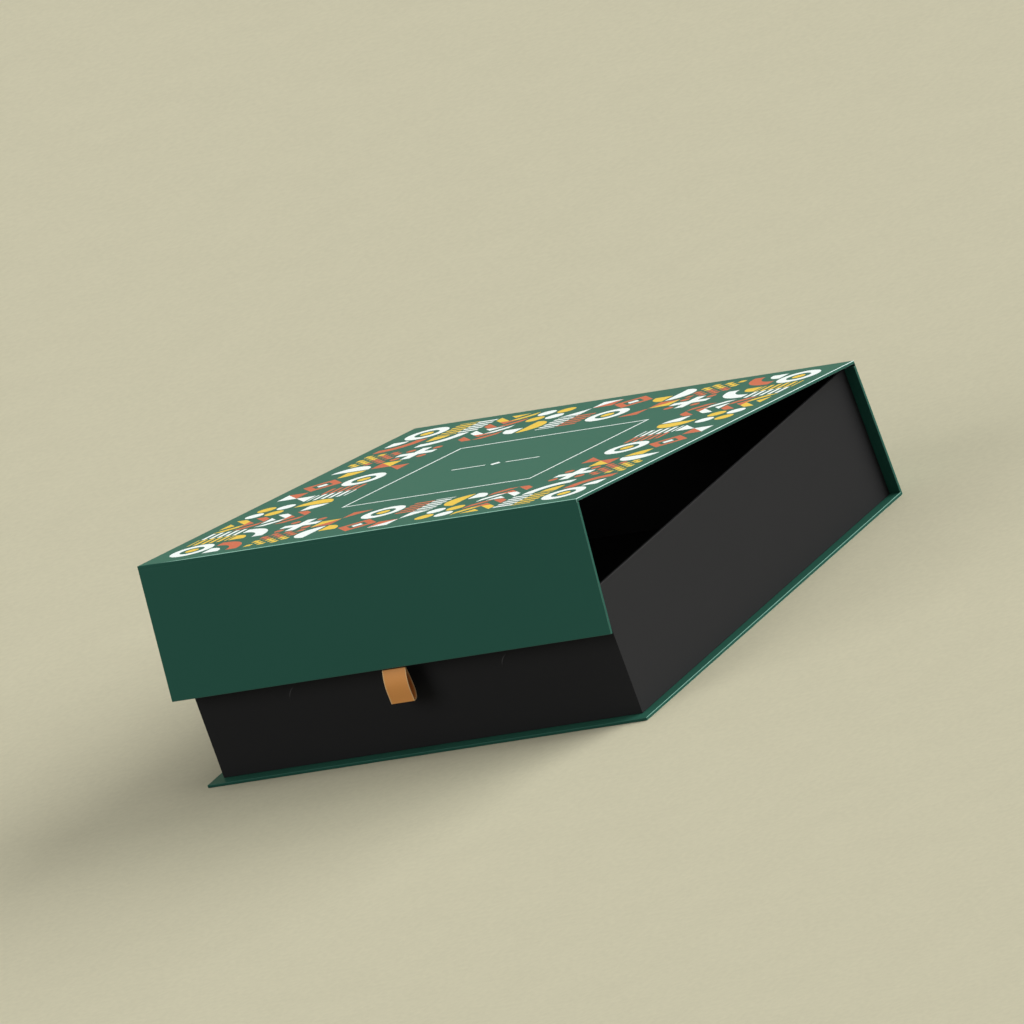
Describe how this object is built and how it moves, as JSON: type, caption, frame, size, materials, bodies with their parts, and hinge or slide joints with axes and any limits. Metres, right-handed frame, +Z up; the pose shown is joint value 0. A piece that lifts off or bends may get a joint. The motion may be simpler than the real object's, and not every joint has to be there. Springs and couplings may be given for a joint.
{
  "type": "gift box",
  "caption": "Rigid square gift box: green wrapped case with a hinged lid and magnetic front flap, a ribbon pull, and a black tray fixed inside.",
  "frame": {"origin": "middle of the base's flat underside, which rests on the table", "axes": "+X to the box's right, +Y from the flap towards the spine, +Z up from the table through the lid"},
  "size_m": [0.3, 0.312, 0.1335],
  "materials": {
    "green_paper": "satin",
    "black_paper": "matte",
    "black_lining": "matte",
    "greyboard": "matte",
    "kraft_tape": "matte",
    "magnet_steel": "satin",
    "satin_ribbon": "satin"
  },
  "bodies": {
    "case_and_tray": {"base_board": "greyboard", "base_wrap": "green_paper", "spine_board": "greyboard", "spine_wrap": "green_paper", "hinge_lining": "black_lining", "tray_floor_board": "greyboard", "tray_front_board": "greyboard", "tray_back_board": "greyboard", "tray_left_board": "greyboard", "tray_right_board": "greyboard", "tray_magnet_left": "magnet_steel", "tray_magnet_right": "magnet_steel", "corner_stay_front_left": "kraft_tape", "corner_stay_front_right": "kraft_tape", "corner_stay_back_left": "kraft_tape", "corner_stay_back_right": "kraft_tape", "tray_wrap": "black_paper", "tray_liner": "black_lining"},
    "lid": {"lid_board": "greyboard", "lid_wrap": "green_paper", "lid_lining": "black_lining"},
    "flap": {"flap_board": "greyboard", "flap_wrap": "green_paper", "flap_lining": "black_lining", "flap_magnet_left": "magnet_steel", "flap_magnet_right": "magnet_steel", "ribbon_tails": "satin_ribbon"},
    "ribbon": {"ribbon_loop": "satin_ribbon"}
  },
  "joints": [
    {"name": "lid_hinge", "type": "hinge", "parent": "case_and_tray", "child": "lid", "pos_m": [0, 0.1525, 0.083], "axis": [-1, 0, 0], "range_deg": [-9.7, 170.3], "deforming": ["ribbon_loop"]},
    {"name": "flap_hinge", "type": "hinge", "parent": "lid", "child": "flap", "pos_m": [0, -0.14322, 0.13355], "axis": [-1, 0, 0], "range_deg": [0, 180]},
    {"name": "ribbon_swing", "type": "hinge", "parent": "flap", "child": "ribbon", "pos_m": [0, -0.15457, 0.05417], "axis": [1, 0, 0], "range_deg": [-80, 0]}
  ]
}
